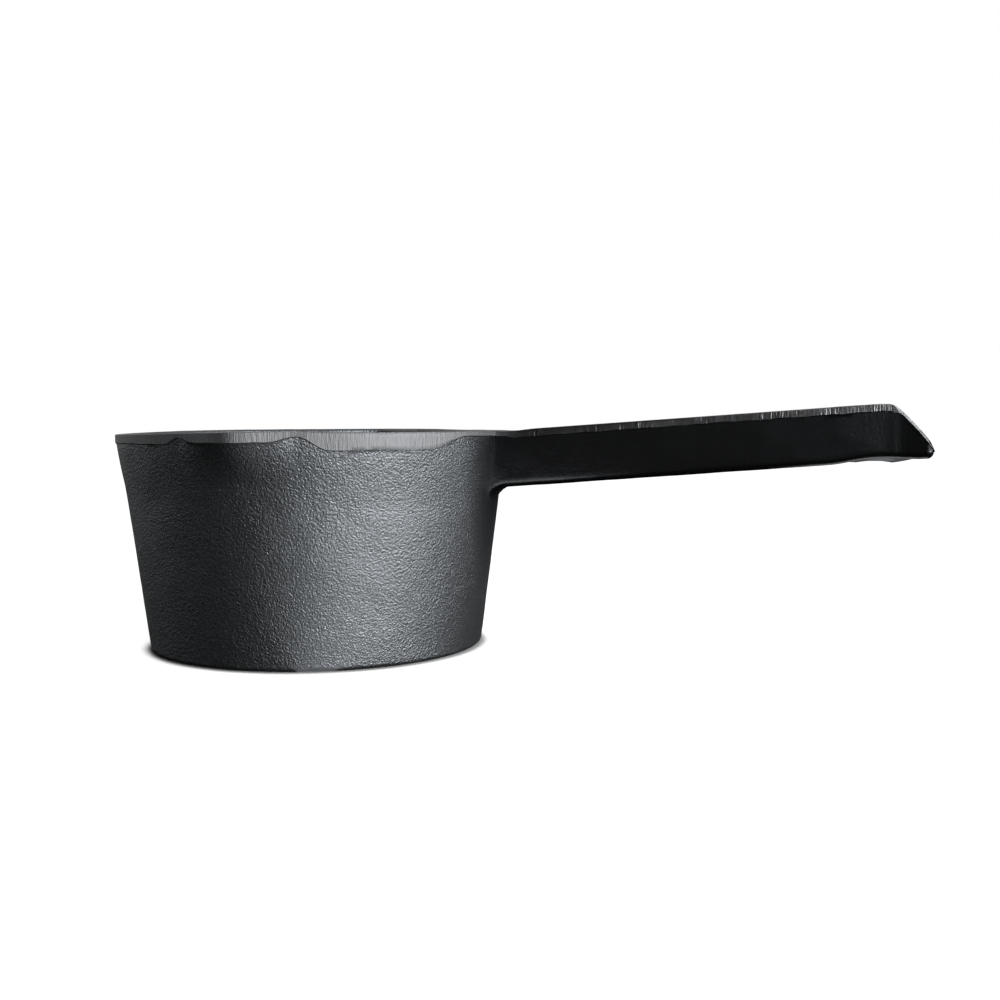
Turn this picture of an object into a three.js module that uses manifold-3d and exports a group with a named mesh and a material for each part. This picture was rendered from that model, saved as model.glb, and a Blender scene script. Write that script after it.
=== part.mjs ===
// A one-litre iron saucepan, sand-cast in one pour: a drafted bowl with two pouring lips and a
// straight, tall handle that rises from the rim to a bevelled end with a hanging eye.
// After casting, the whole parting line is ground by hand, which leaves an upright land round the
// rim, round the lips and along the handle. The casting is divided on flat planes into the zones
// that its pattern is made of. Millimetres, +Z up, origin at the middle of the base, handle on +X.
import * as THREE from "three";
import { mergeVertices } from "three/addons/utils/BufferGeometryUtils.js";
import Module from "manifold-3d";

const wasm = await Module();
wasm.setup();

// Bowl
const HEIGHT = 80.5;
const BASE_RADIUS = 62; // the wall's own line, carried down to the table
const MOUTH_RADIUS = 72.5; // the same line at the rim, before the flare
const WALL = 4;
const FLOOR = 4.5;
const BASE_EDGE_RADIUS = 1.2;
const INNER_CORNER_RADIUS = 9;
const RIM_FLARE = 1.15; // how far the top of the wall stands out past its line
const FLARE_DEPTH = 27; // how far below the rim the flare begins
const FLARE_UPRIGHT = 3; // how far below the rim the flare is complete
const RIM_EDGE_BREAK = 0.8; // the small bevel inside the rim

// Pouring lips, one on each side of the handle
const LIP_REACH = 6.5; // of the point, past the rim beside it
const LIP_DEPTH = 18; // how far below the rim a lip begins to swell out of the wall
const LIP_HALF_ANGLE = 16.5; // degrees, from the lip's point to the corner where it meets the rim
const LIP_POINT_ANGLE = 3.5; // degrees, over which the point is rounded
const LIP_SWELL = 1.6; // power of the curve by which a lip swells out of the wall

// Ground land: its height at each place round the rim, ground by hand and so never quite even
const LAND_AT_ROOT = 1.8; // beside the handle
const LAND_ON_SHOULDER = 6.2; // between the handle and the lips
const LAND_AT_LIP_CORNER = 1.6;
const LAND_ON_LIP = 3.4;
const LAND_AT_BACK = 4; // away from the handle
const LAND_BLEND_ANGLE = 8; // degrees, from one height to the next
const ROOT_LAND_ANGLE = 24.5; // degrees from the handle, where the land begins to deepen
const ROOT_BLEND_ANGLE = 13; // degrees, over which it does
const LAND_LEDGE = 0.35; // how far the land stands out over the cast skin below it

// Handle
const HANDLE_LENGTH = 150.3; // from the rim to the tip
const HANDLE_LEVEL_LENGTH = 8.2; // the top is level with the rim this far, and then it rises
const HANDLE_RISE = 0.066; // per millimetre of length
const HANDLE_DEPTH = 20.4; // at the root
const HANDLE_DEPTH_LOSS = 0.007; // per millimetre of length
const HANDLE_EDGE_RADIUS = 2.2; // lower edges
const HANDLE_EDGE_SHARE = 0.9; // of a side's height, at most, where the bevel leaves little room
const HANDLE_LAND = 2.4;
const ROOT_WIDTH = 22.6;
const WAIST_WIDTH = 21;
const EYE_WIDTH = 22;
const WAIST_FROM_RIM = 69.7;
const END_CORNER = 3; // radius of the end's corners, seen from above
const END_CROWN = 0.5; // how far the end stands out between its corners
const ROOT_FILLET = 0.8; // handle side to wall, seen from above
const UNDER_FILLET = 5.5; // handle underside to wall
const START_INSIDE = 12; // how deep the handle starts inside the bowl's wall

// Bevel at the end of the handle
const BEVEL_LENGTH = 14.1;
const BEVEL_SLOPE = 1.11; // drop per millimetre of length
const BEVEL_CROWN = 0.8; // how far it stands out halfway down, as hand grinding leaves it
const BEVEL_BLEND = 1.1; // softness of the turn into the bevel
const BEVEL_LAND = 1.3;

// Recess under the handle
const RECESS_FROM_ROOT = 20; // bare underside left at the bowl's end
const RECESS_FROM_EYE = 4.5; // and at the eye's end
const RECESS_WIDTH = 8.6;
const RECESS_TOP_WIDTH = 7;
const HANDLE_WEB = 5.5; // metal left between the recess and the handle's top

// Hanging eye, with a low boss under it
const EYE_FROM_TIP = 19.6;
const EYE_SLOT_WIDTH = 9;
const EYE_SLOT_LENGTH = 11;
const EYE_BOSS_LENGTH = 30;
const EYE_BOSS_WIDTH = 14.6;
const EYE_BOSS_DROP = 0.6; // below the handle's lower line
const EYE_BOSS_DEPTH = 3.4;
const EYE_EDGE_LIFT = 1.2; // how far the lower edges curve up beside the boss

// Where the casting is divided: distances from the forms that each plane stays clear of
const FLOOR_ZONE_RISE = 0.5; // above the floor's upper face
const LIP_ZONE_DROP = 1.4; // below a lip's lowest point
const LIP_ZONE_MARGIN = 1.6; // degrees, beyond a lip's corners
const SHANK_CLEARANCE = 0.4; // beyond the rim
const EYE_ZONE_MARGIN = 1; // before the eye's boss

// Fineness of the facets
const TURNS = 96;
const CORNER_STEPS = 4;
const WALL_STEPS = 4;
const FLARE_STEPS = 7;
const FILLET_STEPS = 3;
const SIDE_STEPS = 15;
const BEVEL_STEPS = 7;
const END_STEPS = 6;
const SLOT_END_STEPS = 10;
const BOSS_TURNS = 28;
const BOSS_RINGS = 12;

const CUT_PAST = 4; // how far a cutter runs on past the face it opens
const MERGE_DISTANCE = 1e-4; // corners nearer than this are one

const DRAFT = (MOUTH_RADIUS - BASE_RADIUS) / HEIGHT;
const FLARE_START = HEIGHT - FLARE_DEPTH;
const LIP_START = HEIGHT - LIP_DEPTH;
const LIP_CORNER_ANGLE = 90 - LIP_HALF_ANGLE;
const HANDLE_LEVEL_END = MOUTH_RADIUS + HANDLE_LEVEL_LENGTH;
const HANDLE_END = MOUTH_RADIUS + HANDLE_LENGTH;
const WAIST_AT = MOUTH_RADIUS + WAIST_FROM_RIM;
const EYE_AT = HANDLE_END - EYE_FROM_TIP;
const BEVEL_START = HANDLE_END - BEVEL_LENGTH;
const SHANK_START = MOUTH_RADIUS + RIM_FLARE + SHANK_CLEARANCE;
const SHANK_END = EYE_AT - EYE_BOSS_LENGTH / 2 - EYE_ZONE_MARGIN;
const ROOT_FLANK = ROOT_WIDTH / 2 + ROOT_FILLET;
const radians = THREE.MathUtils.degToRad;

// A geometry as a closed manifold-3d solid.
function solid(geometry) {
  const bare = geometry.clone();
  bare.deleteAttribute("normal");
  bare.deleteAttribute("uv");
  const merged = mergeVertices(bare, MERGE_DISTANCE);
  const vertProperties = new Float32Array(merged.attributes.position.array);
  const triVerts = new Uint32Array(merged.index.array);
  const made = new wasm.Manifold(new wasm.Mesh({ numProp: 3, vertProperties, triVerts }));
  if (made.volume() <= 0) throw new Error("a solid is inside out");
  return made;
}

// A manifold-3d solid as a flat-shaded geometry.
function geometryOf(made) {
  const mesh = made.getMesh();
  const corners = [];
  for (let i = 0; i < mesh.numVert; i++) {
    corners.push(...mesh.vertProperties.subarray(i * mesh.numProp, i * mesh.numProp + 3));
  }
  const geometry = new THREE.BufferGeometry();
  geometry.setAttribute("position", new THREE.Float32BufferAttribute(corners, 3));
  geometry.setIndex([...mesh.triVerts]);
  geometry.computeVertexNormals();
  return geometry;
}

// The angle from the handle, 0 to 180 degrees, of a point round the bowl.
function angleFromHandle(x, y) {
  return Math.abs(THREE.MathUtils.radToDeg(Math.atan2(y, x)));
}

// The ground land's height at an angle, blended from one stretch of the rim to the next.
function landHeight(angle) {
  const farCorner = 180 - LIP_CORNER_ANGLE;
  const turns = [
    [ROOT_LAND_ANGLE, ROOT_BLEND_ANGLE, LAND_AT_ROOT, LAND_ON_SHOULDER],
    [LIP_CORNER_ANGLE - LAND_BLEND_ANGLE, LAND_BLEND_ANGLE, LAND_ON_SHOULDER, LAND_AT_LIP_CORNER],
    [LIP_CORNER_ANGLE, LAND_BLEND_ANGLE, LAND_AT_LIP_CORNER, LAND_ON_LIP],
    [farCorner - LAND_BLEND_ANGLE, LAND_BLEND_ANGLE, LAND_ON_LIP, LAND_AT_LIP_CORNER],
    [farCorner, LAND_BLEND_ANGLE, LAND_AT_LIP_CORNER, LAND_AT_BACK],
  ];
  return turns.reduce((height, [at, over, before, after]) => {
    return height + (after - before) * THREE.MathUtils.smoothstep(angle, at, at + over);
  }, LAND_AT_ROOT);
}

// The as-cast outer radius of the plain wall at a height.
function wallRadius(z) {
  const flared = THREE.MathUtils.smoothstep(z, FLARE_START, HEIGHT - FLARE_UPRIGHT);
  return BASE_RADIUS + DRAFT * z + RIM_FLARE * flared;
}

// How far a lip's straight side stands out of the rim, at an angle from the lip's point.
function lipSide(off) {
  const angle = radians(Math.hypot(off, LIP_POINT_ANGLE));
  const tip = MOUTH_RADIUS + LIP_REACH;
  const across = MOUTH_RADIUS * Math.sin(radians(LIP_HALF_ANGLE));
  const along = tip - MOUTH_RADIUS * Math.cos(radians(LIP_HALF_ANGLE));
  return (across * tip) / (along * Math.sin(angle) + across * Math.cos(angle)) - MOUTH_RADIUS;
}

// How far a pouring lip stands out of the wall. It is whole at the foot of its ground land.
function lipReach(angle, z) {
  const swell = (z - LIP_START) / (LIP_DEPTH - LAND_ON_LIP);
  const off = Math.abs(angle - 90);
  if (swell <= 0 || off >= LIP_HALF_ANGLE) return 0;
  const share = Math.max(0, lipSide(off)) / lipSide(0);
  return LIP_REACH * share * Math.min(1, swell) ** LIP_SWELL;
}

// A turned form whose radius is then moved, point by point, by its height and angle.
function turned(profile, reshape) {
  const points = profile.map(([radius, z]) => new THREE.Vector2(radius, z));
  const geometry = new THREE.LatheGeometry(points, TURNS).rotateX(Math.PI / 2);
  const position = geometry.getAttribute("position");
  for (let i = 0; i < position.count; i++) {
    const x = position.getX(i);
    const y = position.getY(i);
    const radius = Math.hypot(x, y);
    if (radius < MERGE_DISTANCE) {
      position.setXYZ(i, 0, 0, position.getZ(i));
      continue;
    }
    const angle = angleFromHandle(x, y);
    const [newRadius, z] = reshape(radius, position.getZ(i), angle, i % points.length);
    position.setXYZ(i, (x / radius) * newRadius, (y / radius) * newRadius, z);
  }
  return solid(geometry);
}

// A quarter circle in the profile plane, from one angle to another.
function corner(radius, z, size, from, to) {
  return Array.from({ length: CORNER_STEPS + 1 }, (_, i) => {
    const a = radians(from + ((to - from) * i) / CORNER_STEPS);
    return [radius + size * Math.cos(a), z + size * Math.sin(a)];
  });
}

// The outside of the bowl as a solid block, with its lips and the ground land.
function bowlBlock() {
  const edgeCentre = wallRadius(BASE_EDGE_RADIUS) - BASE_EDGE_RADIUS;
  const edge = corner(edgeCentre, BASE_EDGE_RADIUS, BASE_EDGE_RADIUS, -90, 0);
  const wall = Array.from({ length: WALL_STEPS - 1 }, (_, i) => {
    const z = THREE.MathUtils.lerp(BASE_EDGE_RADIUS, FLARE_START, (i + 1) / WALL_STEPS);
    return [wallRadius(z), z];
  });
  const landSteps = 2; // the foot of the land, and the rim
  const upper = Array.from({ length: FLARE_STEPS + 1 + landSteps }, () => [MOUTH_RADIUS, HEIGHT]);
  const profile = [[0, 0], ...edge, ...wall, ...upper, [0, HEIGHT]];
  const firstUpper = 1 + edge.length + wall.length;
  return turned(profile, (radius, z, angle, index) => {
    const step = index - firstUpper;
    if (step < 0 || step >= upper.length) return [radius, z];
    const landFoot = HEIGHT - landHeight(angle);
    const upright = wallRadius(landFoot) + lipReach(angle, landFoot);
    if (step > FLARE_STEPS) return [upright, step === FLARE_STEPS + 1 ? landFoot : HEIGHT];
    const share = step / FLARE_STEPS;
    const level = THREE.MathUtils.lerp(FLARE_START, landFoot - LAND_LEDGE, share);
    return [wallRadius(level) + lipReach(angle, level) - LAND_LEDGE * share, level];
  });
}

// The hollow of the bowl, a wall's thickness inside the outside and open at the top.
function bowlHollow() {
  const inner = (z) => wallRadius(z) - WALL;
  const low = FLOOR + INNER_CORNER_RADIUS;
  const round = corner(inner(low) - INNER_CORNER_RADIUS, low, INNER_CORNER_RADIUS, -90, 0);
  const flare = Array.from({ length: FLARE_STEPS + 1 }, (_, i) => {
    const z = THREE.MathUtils.lerp(FLARE_START, HEIGHT - RIM_EDGE_BREAK, i / FLARE_STEPS);
    return [inner(z), z];
  });
  const rim = HEIGHT - RIM_EDGE_BREAK;
  const mouth = [inner(rim) + RIM_EDGE_BREAK + CUT_PAST, HEIGHT + CUT_PAST];
  const profile = [[0, FLOOR], ...round, ...flare, mouth, [0, HEIGHT + CUT_PAST]];
  return turned(profile, (radius, z, angle) => {
    return [radius + lipReach(angle, Math.min(z, rim)), z];
  });
}

// The height of the handle's top at a distance from the bowl's axis.
function handleTop(x) {
  const rise = (to) => HEIGHT + Math.max(0, to - HANDLE_LEVEL_END) * HANDLE_RISE;
  const along = THREE.MathUtils.clamp((x - BEVEL_START) / BEVEL_LENGTH, 0, 1);
  const crown = 4 * BEVEL_CROWN * along * (1 - along);
  const bevel = rise(BEVEL_START) - (x - BEVEL_START) * BEVEL_SLOPE + crown;
  const over = (rise(x) - bevel) / BEVEL_BLEND;
  return rise(x) - BEVEL_BLEND * Math.log1p(Math.exp(over));
}

// The height of the straight line that its underside follows.
function handleLowerLine(x) {
  const along = x - HANDLE_LEVEL_END;
  return HEIGHT - HANDLE_DEPTH + along * (HANDLE_RISE + HANDLE_DEPTH_LOSS);
}

// The underside's height at a point of the handle's outline.
function handleBottom({ x, y, nx, ny }) {
  const drawn = LAND_LEDGE + (HANDLE_DEPTH - HANDLE_LAND) * DRAFT; // in, by the side's draft
  const out = Math.hypot(x - nx * drawn, y - ny * drawn);
  const foot = wallRadius(handleLowerLine(MOUTH_RADIUS));
  const short = THREE.MathUtils.clamp(foot + UNDER_FILLET - out, 0, UNDER_FILLET);
  const fillet = UNDER_FILLET - Math.sqrt(UNDER_FILLET ** 2 - short ** 2);
  const beside = Math.min(1, Math.abs(x - EYE_AT) / (EYE_BOSS_LENGTH / 2));
  return handleLowerLine(x) - fillet + EYE_EDGE_LIFT * (1 - beside * beside) ** 2;
}

// Half the handle's width along its length, before draft.
function handleHalfWidth(x) {
  const widths = x < WAIST_AT ? [ROOT_WIDTH, WAIST_WIDTH] : [WAIST_WIDTH, EYE_WIDTH];
  const span = x < WAIST_AT ? [HANDLE_LEVEL_END, WAIST_AT] : [WAIST_AT, EYE_AT];
  const share = THREE.MathUtils.smoothstep(x, ...span);
  return (widths[0] + (widths[1] - widths[0]) * share) / 2;
}

// One side of the handle seen from above, from inside the wall to the tip: points and normals.
function handleSide() {
  const side = [];
  const foot = Math.sqrt(wallRadius(HEIGHT - LAND_AT_ROOT) ** 2 - ROOT_FLANK ** 2);
  side.push({ x: foot - START_INSIDE, y: ROOT_FLANK, nx: 1, ny: 0 });
  for (let i = 0; i <= FILLET_STEPS; i++) {
    const a = (i / FILLET_STEPS) * (Math.PI / 2);
    const x = foot + ROOT_FILLET * (1 - Math.cos(a));
    side.push({ x, y: ROOT_FLANK - ROOT_FILLET * Math.sin(a), nx: Math.cos(a), ny: Math.sin(a) });
  }
  const from = foot + ROOT_FILLET;
  const bend = BEVEL_START - BEVEL_BLEND;
  const endCentre = HANDLE_END - END_CROWN - END_CORNER;
  for (let i = 1; i <= SIDE_STEPS; i++) {
    const x = THREE.MathUtils.lerp(from, bend, i / SIDE_STEPS);
    side.push({ x, y: handleHalfWidth(x), nx: 0, ny: 1 });
  }
  for (let i = 1; i <= BEVEL_STEPS; i++) {
    const x = THREE.MathUtils.lerp(bend, endCentre, i / BEVEL_STEPS);
    side.push({ x, y: handleHalfWidth(x), nx: 0, ny: 1 });
  }
  for (let i = 1; i <= END_STEPS; i++) {
    const a = (i / END_STEPS) * (Math.PI / 2);
    const x = endCentre + END_CORNER * Math.sin(a);
    const y = handleHalfWidth(endCentre) - END_CORNER * (1 - Math.cos(a));
    side.push({ x, y, nx: Math.sin(a), ny: Math.cos(a) });
  }
  side.push({ x: HANDLE_END, y: 0, nx: 1, ny: 0 });
  return side;
}

// The levels of the handle from its underside to its top: a height and an inset at each point.
// Towards the thin end of the bevel, the lower edges' rounding shrinks with the room left.
function handleLevels() {
  const onBevel = (x) => THREE.MathUtils.smoothstep(x, BEVEL_START, BEVEL_START + HANDLE_LAND);
  const landFoot = (x) => handleTop(x) - THREE.MathUtils.lerp(HANDLE_LAND, BEVEL_LAND, onBevel(x));
  const rounding = Array.from({ length: CORNER_STEPS + 1 }, (_, i) => {
    const a = (i / CORNER_STEPS) * (Math.PI / 2);
    return (point) => {
      const low = handleBottom(point);
      const foot = landFoot(point.x);
      const size = Math.min(HANDLE_EDGE_RADIUS, (foot - LAND_LEDGE - low) * HANDLE_EDGE_SHARE);
      const z = low + size * (1 - Math.cos(a));
      return [z, LAND_LEDGE + (foot - z) * DRAFT + size * (1 - Math.sin(a))];
    };
  });
  return [
    ...rounding,
    ({ x }) => [landFoot(x) - LAND_LEDGE, LAND_LEDGE],
    ({ x }) => [landFoot(x), 0],
    ({ x }) => [handleTop(x), 0],
  ];
}

// The handle as one closed form: levels stacked on its plan outline, capped by strips across.
function handleBlock() {
  const side = handleSide();
  const mirrored = side.slice(0, -1).reverse().map((p) => ({ ...p, y: -p.y, ny: -p.ny }));
  const outline = [...side, ...mirrored];
  const count = outline.length;
  const corners = [];
  const faces = [];
  const levels = handleLevels();
  for (const level of levels) {
    for (const p of outline) {
      const [z, inset] = level(p);
      corners.push(p.x - p.nx * inset, p.y - p.ny * inset, z);
    }
  }
  const quad = (a, b, c, d) => faces.push(a, b, c, a, c, d);
  for (let level = 0; level < levels.length - 1; level++) {
    const low = level * count;
    const high = low + count;
    for (let i = 0; i < count - 1; i++) quad(low + i + 1, low + i, high + i, high + i + 1);
    quad(low, low + count - 1, high + count - 1, high);
  }
  const top = (levels.length - 1) * count;
  const tip = side.length - 1;
  for (let i = 0; i < tip - 1; i++) {
    const across = count - 1 - i;
    quad(top + i, top + across, top + across - 1, top + i + 1);
    quad(i + 1, across - 1, across, i);
  }
  faces.push(top + tip - 1, top + tip + 1, top + tip);
  faces.push(tip, tip + 1, tip - 1);
  const geometry = new THREE.BufferGeometry();
  geometry.setAttribute("position", new THREE.Float32BufferAttribute(corners, 3));
  geometry.setIndex(faces);
  return solid(geometry);
}

// An upright bar with round ends, centred on a point of the handle's middle line. It cuts a slot.
function slotBar(x, length, width, depth) {
  const half = width / 2;
  const straight = length / 2 - half;
  const shape = new THREE.Shape();
  shape.absarc(x + straight, 0, half, -Math.PI / 2, Math.PI / 2, false);
  shape.absarc(x - straight, 0, half, Math.PI / 2, (3 * Math.PI) / 2, false);
  return new THREE.ExtrudeGeometry(shape, {
    depth,
    bevelEnabled: false,
    curveSegments: SLOT_END_STEPS,
  });
}

// The lengthwise recess in the underside: tapered sides, and a ceiling parallel to the top.
function recess() {
  const start = SHANK_START + RECESS_FROM_ROOT;
  const end = SHANK_END - RECESS_FROM_EYE;
  const geometry = slotBar((start + end) / 2, end - start, RECESS_WIDTH, HANDLE_DEPTH);
  const position = geometry.getAttribute("position");
  for (let i = 0; i < position.count; i++) {
    const x = position.getX(i);
    const ceiling = position.getZ(i) > 0;
    const pull = ceiling ? RECESS_TOP_WIDTH / RECESS_WIDTH : 1;
    const z = ceiling ? handleTop(x) - HANDLE_WEB : handleLowerLine(x) - CUT_PAST;
    position.setXYZ(i, x, position.getY(i) * pull, z);
  }
  return solid(geometry);
}

// The hanging eye: a slot straight through the end of the handle.
function eyeSlot() {
  const high = handleTop(EYE_AT) + CUT_PAST;
  return solid(slotBar(EYE_AT, EYE_SLOT_LENGTH, EYE_SLOT_WIDTH, high));
}

// The low boss under the eye, a flattened dome sunk into the handle.
function eyeBoss() {
  const dome = new THREE.SphereGeometry(1, BOSS_TURNS, BOSS_RINGS);
  dome.rotateX(Math.PI / 2);
  dome.scale(EYE_BOSS_LENGTH / 2, EYE_BOSS_WIDTH / 2, EYE_BOSS_DEPTH);
  dome.translate(EYE_AT, 0, handleLowerLine(EYE_AT) - EYE_BOSS_DROP + EYE_BOSS_DEPTH);
  return solid(dome);
}

// A box between two corners, larger than what it cuts wherever it needn't end.
function between([x0, y0, z0], [x1, y1, z1]) {
  const box = new THREE.BoxGeometry(x1 - x0, y1 - y0, z1 - z0);
  return solid(box.translate((x0 + x1) / 2, (y0 + y1) / 2, (z0 + z1) / 2));
}

// The wedge of the rim that holds one lip. side is 1 for the far lip and -1 for the near one.
function lipZone(side) {
  const out = 2 * MOUTH_RADIUS;
  const spread = out * Math.tan(radians(LIP_HALF_ANGLE + LIP_ZONE_MARGIN));
  const shape = new THREE.Shape([
    new THREE.Vector2(0, 0),
    new THREE.Vector2(side * spread, side * out),
    new THREE.Vector2(-side * spread, side * out),
  ]);
  const depth = HEIGHT;
  const wedge = new THREE.ExtrudeGeometry(shape, { depth, bevelEnabled: false });
  return solid(wedge.translate(0, 0, LIP_START - LIP_ZONE_DROP));
}

const FAR = 2 * HANDLE_END;
const casting = bowlBlock()
  .add(handleBlock())
  .add(eyeBoss())
  .subtract(bowlHollow())
  .subtract(recess())
  .subtract(eyeSlot());

const floorTop = FLOOR + FLOOR_ZONE_RISE;
const floorZone = between([-FAR, -FAR, -FAR], [FAR, FAR, floorTop]);
const handleZone = between([SHANK_START, -FAR, floorTop], [FAR, FAR, FAR]);
const eyeZone = between([SHANK_END, -FAR, floorTop], [FAR, FAR, FAR]);
const nearLipZone = lipZone(-1);
const farLipZone = lipZone(1);
const bowl = casting.subtract(floorZone).subtract(handleZone);
const handle = casting.intersect(handleZone);

const zones = {
  pan_floor: casting.intersect(floorZone),
  pan_wall: bowl.subtract(nearLipZone).subtract(farLipZone),
  pour_lip_near: casting.intersect(nearLipZone),
  pour_lip_far: casting.intersect(farLipZone),
  handle_shank: handle.subtract(eyeZone),
  hanging_eye: handle.intersect(eyeZone),
};

const saucepan = new THREE.Group();
for (const [name, made] of Object.entries(zones)) {
  const iron = new THREE.MeshStandardMaterial({ color: 0x2b2d30, roughness: 0.5, metalness: 0.6 });
  const mesh = new THREE.Mesh(geometryOf(made), iron);
  mesh.name = name;
  saucepan.add(mesh);
}

export default saucepan;
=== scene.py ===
# A one-litre iron saucepan, sand-cast in one pour: a drafted bowl with two pouring lips and a straight,
# tall handle that rises from the rim to a bevelled end with a hanging eye. The parting line is ground by
# hand all round. It is modelled as the one casting that it is, because a seam anywhere would be false.
import math

import bpy
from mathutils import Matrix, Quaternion, Vector, noise


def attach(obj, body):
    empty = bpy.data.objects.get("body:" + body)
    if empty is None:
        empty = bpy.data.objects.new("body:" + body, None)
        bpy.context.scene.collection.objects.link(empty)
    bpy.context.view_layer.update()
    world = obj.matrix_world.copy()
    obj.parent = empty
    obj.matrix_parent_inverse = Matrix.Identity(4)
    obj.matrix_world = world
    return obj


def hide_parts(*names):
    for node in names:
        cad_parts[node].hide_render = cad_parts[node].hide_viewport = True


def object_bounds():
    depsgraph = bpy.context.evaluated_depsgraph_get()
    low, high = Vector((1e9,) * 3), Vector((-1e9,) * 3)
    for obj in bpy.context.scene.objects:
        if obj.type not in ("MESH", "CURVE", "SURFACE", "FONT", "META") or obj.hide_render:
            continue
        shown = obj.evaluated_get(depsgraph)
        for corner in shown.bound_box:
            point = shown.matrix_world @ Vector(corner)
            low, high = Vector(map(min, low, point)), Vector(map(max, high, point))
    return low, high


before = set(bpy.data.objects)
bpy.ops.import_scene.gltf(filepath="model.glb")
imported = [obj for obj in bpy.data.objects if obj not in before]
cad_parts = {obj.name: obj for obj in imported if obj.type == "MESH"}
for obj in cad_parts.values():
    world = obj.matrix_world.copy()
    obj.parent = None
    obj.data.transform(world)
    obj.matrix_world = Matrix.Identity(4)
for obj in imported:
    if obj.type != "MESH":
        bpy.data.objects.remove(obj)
cad_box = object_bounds()

# Sizes are in metres and angles in degrees.
MM = 0.001

# Bowl
HEIGHT = 80.5 * MM
BASE_RADIUS = 62 * MM  # the wall's own line, carried down to the table
MOUTH_RADIUS = 72.5 * MM  # the same line at the rim, before the flare
WALL = 4 * MM
FLOOR = 4.5 * MM
BASE_EDGE_RADIUS = 1.8 * MM
INNER_CORNER_RADIUS = 9 * MM
RIM_FLARE = 1.15 * MM
FLARE_DEPTH = 27 * MM
FLARE_UPRIGHT = 3 * MM
RIM_EDGE_BREAK = 0.8 * MM  # inside
OUTER_EDGE_BREAK = 0.25 * MM  # where the grinder has taken the burr off an outer edge

# Pouring lips
LIP_REACH = 6.5 * MM
LIP_DEPTH = 18 * MM
LIP_HALF_ANGLE = 16.5
LIP_POINT_ANGLE = 3.5
LIP_SWELL = 1.6  # power of the curve by which a lip swells out of the wall

# Ground land round the rim
LAND_AT_ROOT = 1.8 * MM
LAND_ON_SHOULDER = 6.2 * MM
LAND_AT_LIP_CORNER = 1.6 * MM
LAND_ON_LIP = 3.4 * MM
LAND_AT_BACK = 4 * MM
LAND_BLEND_ANGLE = 8
BACK_BLEND_ANGLE = 5  # at the lips' corners away from the handle
ROOT_LAND_ANGLE = 24.5
ROOT_BLEND_ANGLE = 13
LAND_LEDGE = 0.35 * MM
LEDGE_ON_SHOULDER = 0.08 * MM  # there the grinder ran out over the cast skin
SHOULDER = (24, 66)  # degrees from the handle
SHOULDER_FADE = 10
LAND_WANDER = 0.35 * MM  # of the land's lower edge, up and down
LAND_WANDER_LENGTH = 7 * MM
RIM_DIP = 1.1 * MM  # where the rim is ground low, at the back on the near side
RIM_DIP_ANGLE = -150
RIM_DIP_SPREAD = 75
ROOT_DIP = 0.45 * MM  # and round the handle's root
ROOT_DIP_ROUND_RIM = (50, 78)  # degrees from the handle, between which it runs out
ROOT_DIP_ALONG_HANDLE = (MOUTH_RADIUS + 3 * MM, MOUTH_RADIUS + 16 * MM)

# Handle
HANDLE_LEVEL_END = MOUTH_RADIUS + 8.2 * MM
HANDLE_END = MOUTH_RADIUS + 150.3 * MM
HANDLE_RISE = 0.066  # per length
HANDLE_DEPTH = 20.4 * MM
HANDLE_DEPTH_LOSS = 0.007  # per length
HANDLE_EDGE_RADIUS = 2.2 * MM
HANDLE_EDGE_SHARE = 0.9  # of a side's height, at most
HANDLE_LAND = 2.4 * MM
ROOT_WIDTH = 22.6 * MM
WAIST_WIDTH = 21 * MM
WAIST_AT = MOUTH_RADIUS + 69.7 * MM
EYE_WIDTH = 22 * MM
END_CORNER = 3 * MM  # seen from above
END_CROWN = 0.5 * MM  # how far the end stands out between its corners
UNDER_FILLET = 5.5 * MM
ROOT_OVERLAP = 0.04 * MM  # how far the underside's fillet runs into the wall that it touches
ROOT_LAND_LENGTH = 5 * MM  # over which the bowl's land becomes the handle's
SOFT_ROOT = 2 * MM  # how far the fillet's run into the wall is smoothed
BEVEL_START = HANDLE_END - 14.1 * MM
BEVEL_SLOPE = 1.11
BEVEL_CROWN = 0.8 * MM
BEVEL_BLEND = 1.1 * MM
BEVEL_LAND = 1.3 * MM
BEVEL_EDGE_BREAK = 1.25 * MM

# Recess under the handle, and the hanging eye with its low boss
RECESS_START = MOUTH_RADIUS + 21.55 * MM
RECESS_END = MOUTH_RADIUS + 110.2 * MM
RECESS_WIDTH = 8.6 * MM
RECESS_TOP_WIDTH = 7 * MM
HANDLE_WEB = 5.5 * MM
EYE_AT = HANDLE_END - 19.6 * MM
EYE_SLOT_WIDTH = 9 * MM
EYE_SLOT_LENGTH = 11 * MM
EYE_BOSS_LENGTH = 30 * MM
EYE_BOSS_WIDTH = 14.6 * MM
EYE_BOSS_DROP = 0.6 * MM
EYE_BOSS_DEPTH = 3.4 * MM
EYE_EDGE_LIFT = 1.2 * MM
CAST_CORNER = 1 * MM  # the radius that moulding sand leaves on a small edge
CUT_PAST = MM / 50  # how far a cutter's eased edge stands out of the face that it opens

# Cast skin and ground land
MOULD_SWELL = (12 * MM, 0.3 * MM)  # length and height of the slow waves that a rammed mould leaves
MOULD_RAMMING = (4 * MM, 0.04 * MM)  # and of the short ones
FINE_SAND = (MOUTH_RADIUS - 8 * MM, MOUTH_RADIUS + 0.4 * MM)  # between these the mould's sand gets finer
FINE_GRINDING = (MOUTH_RADIUS - 8 * MM, MOUTH_RADIUS + 9 * MM)  # and the grinder's touch lighter
CREASE_ANGLE = 34  # degrees, past which an edge is seen as an edge

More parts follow.
